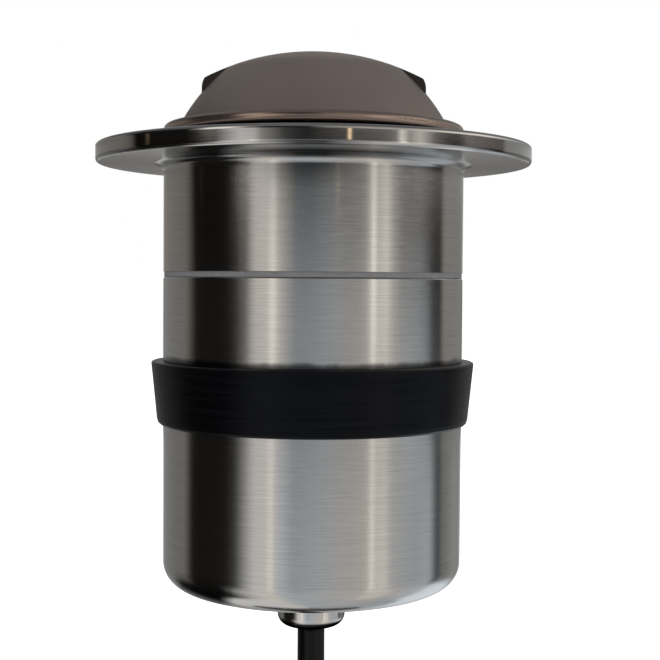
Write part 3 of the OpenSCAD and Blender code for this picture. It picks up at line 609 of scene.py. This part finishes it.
# Seen in the can above the rubber ring
BANDS_JOINT = [(-180, 0.30, PLAIN), (-171, 0.09, WARM), (-158, 0.25, PLAIN), (-125, 0.22, PLAIN),
               (-110, 0.21, WARM), (-97, 0.014, WARM), (-66, 0.010, WARM), (-58, 0.024, PLAIN),
               (-50, 0.14, WARM), (-43, 0.62, WARM), (-33, 0.68, WARM), (-29, 1.55, WARM),
               (-25, 0.86, WARM), (-19, 0.65, PLAIN), (-12, 0.49, COOL), (0, 0.54, COOL),
               (12, 0.58, COOL), (39, 0.58, WARM), (43.5, 0.74, WARM), (46, 1.70, WARM),
               (49, 0.84, WARM), (57, 0.94, WARM), (62, 0.62, WARM), (70, 0.46, PLAIN),
               (86, 0.37, COOL), (96, 0.27, COOL), (102, 0.065, COOL), (112, 0.02, PLAIN),
               (118, 0.28, WARM), (156, 0.25, PLAIN), (171, 0.09, WARM), (180, 0.30, PLAIN)]
# Seen in the tube
BANDS_MID = [(-180, 0.42, PLAIN), (-168, 0.48, WARM), (-158, 0.23, WARM), (-125, 0.21, WARM),
             (-110, 0.19, WARM), (-99, 0.006, WARM), (-66, 0.005, WARM), (-58, 0.018, PLAIN),
             (-50, 0.08, WARM), (-43, 0.71, WARM), (-33, 0.76, WARM), (-29, 1.12, WARM),
             (-25, 0.60, WARM), (-19, 0.44, WARM), (-12, 0.22, COOL), (0, 0.195, COOL),
             (12, 0.235, COOL), (30, 0.215, PLAIN), (39, 0.31, WARM), (43.5, 0.62, WARM),
             (46, 1.60, WARM), (49, 0.58, WARM), (57, 0.93, WARM), (62, 0.46, WARM), (70, 0.185, PLAIN),
             (88, 0.13, PLAIN), (96, 0.04, PLAIN), (101, 0.008, PLAIN), (111, 0.006, PLAIN),
             (118, 0.27, WARM), (156, 0.24, PLAIN), (170, 0.48, PLAIN)]
# Seen just under the flange
BANDS_HIGH = [(-180, 0.50, PLAIN), (-168, 0.65, PLAIN), (-156, 0.26, PLAIN), (-114, 0.18, WARM),
              (-106, 0.13, WARM), (-101, 0.004, WARM), (-60, 0.008, WARM), (-49, 0.04, PLAIN),
              (-44, 0.26, PLAIN), (-36, 0.70, PLAIN), (-29, 0.64, PLAIN), (-25, 0.32, WARM),
              (-14, 0.065, PLAIN), (-5, 0.02, PLAIN), (9, 0.02, PLAIN), (16.9, 0.045, WARM),
              (19.7, 0.05, WARM), (37, 0.11, PLAIN), (42, 0.21, WARM), (45, 0.90, WARM), (49, 0.34, WARM),
              (55, 0.62, WARM), (64, 0.10, ROSE), (73, 0.004, ROSE), (79, 0.01, ROSE),
              (85, 0.15, ROSE), (99, 0.12, ROSE), (113, 0.11, ROSE), (117, 0.28, PLAIN), (168, 0.50, PLAIN),
              (180, 0.50, PLAIN)]
# Seen in the flange's rim: as just under it, with two thin gold lights
GOLD_STRIPES = [(-93.5, 0.01, WARM), (-92, 0.16, GOLD), (-90.5, 0.01, WARM), (17.3, 1.6, GOLD),
                (19.3, 1.6, GOLD)]
BANDS_RIM = sorted([stop for stop in BANDS_HIGH if abs(stop[0]) < 150] + GOLD_STRIPES)
# Seen in the hood and its brim
BANDS_BRIM = [(-180, 0.50, PLAIN), (-150, 0.26, PLAIN), (-114, 0.18, PLAIN), (-104, 0.01, PLAIN),
              (-66, 0.01, PLAIN), (-60, 0.30, WARM), (-54, 1.10, WARM), (-44, 1.10, WARM),
              (-34, 0.30, WARM), (-24, 0.02, WARM), (-2, 0.02, WARM), (8, 0.28, WARM), (28, 0.50, WARM),
              (45, 0.50, WARM), (62, 0.80, WARM), (80, 1.00, WARM), (100, 1.10, WARM),
              (120, 0.60, PLAIN), (156, 0.30, PLAIN), (180, 0.50, PLAIN)]
# Each table with the heights of direction between which it takes over from the one before it
STACK = [(BANDS_STEEP, -0.84, -0.77), (BANDS_LOW, -0.50, -0.30), (BANDS_NEAR, -0.118, -0.110),
         (BANDS_JOINT, -0.078, -0.070), (BANDS_MID, -0.004, 0.010), (BANDS_HIGH, 0.060, 0.096),
         (BANDS_RIM, 0.098, 0.102), (BANDS_BRIM, 0.124, 0.128)]

world = bpy.data.worlds.new("studio")
bpy.context.scene.world = world
world.use_nodes = True
world.node_tree.nodes.clear()
sky = Nodes(world.node_tree)
direction = sky.axes("Generated")
azimuth = sky.math("ARCTAN2", direction["X"], sky.math("MULTIPLY", direction["Y"], -1))
turn = sky.span(azimuth, 0.0, 1.0, -math.pi, math.pi)


def bands(stops):
    """The light round the object from (azimuth, brightness, tint) stops."""
    return sky.ramp(turn, [((deg + 180) / 360, tuple(bright * t for t in tint))
                           for deg, bright, tint in stops])


def over(base, top, low, high):
    """Light that fades from base to top as the direction's height goes from low to high."""
    return sky.mix(sky.span(direction["Z"], 0.0, 1.0, low, high, smooth=True), base, top, "RGBA")


around_it = bands(BANDS_DOWN)
for table, low, high in STACK:
    around_it = over(around_it, bands(table), low, high)
around_it = over(around_it, CEILING, 0.34, 0.85)

# The camera and glass see plain white instead of the studio
studio = sky.node("ShaderNodeBackground")
sky.feed(around_it, studio.inputs["Color"])
white = sky.node("ShaderNodeBackground")
sky.feed((1, 1, 1, 1), white.inputs["Color"])
rays = sky.node("ShaderNodeLightPath")
seen = sky.math("MAXIMUM", rays.outputs["Is Camera Ray"], rays.outputs["Is Transmission Ray"])
choose = sky.node("ShaderNodeMixShader")
sky.feed(seen, choose.inputs["Fac"])
sky.feed(studio.outputs[0], choose.inputs[1])
sky.feed(white.outputs[0], choose.inputs[2])
sky.feed(choose.outputs[0], sky.node("ShaderNodeOutputWorld").inputs["Surface"])

# Lamps: three soft panels that no reflection shows
LAMP_AIM = Vector((0, 0, -0.05))


def lamp(name, place, size, power):
    """A soft rectangular lamp aimed at the object."""
    data = bpy.data.lights.new(name, "AREA")
    data.shape = "RECTANGLE"
    data.size, data.size_y = size
    data.energy = power
    obj = bpy.data.objects.new(name, data)
    obj.location = place
    obj.rotation_euler = (LAMP_AIM - Vector(place)).to_track_quat("-Z", "Y").to_euler()
    obj.visible_camera = False
    obj.visible_glossy = False
    bpy.context.collection.objects.link(obj)


lamp("key", (-0.9, -0.9, 1.1), (0.8, 0.8), 9)
lamp("fill", (1.1, -0.8, 0.5), (0.8, 0.8), 4)
lamp("back", (0.2, 1.2, 0.9), (1.0, 0.6), 5)

scene = bpy.context.scene
scene.view_settings.view_transform = "Standard"
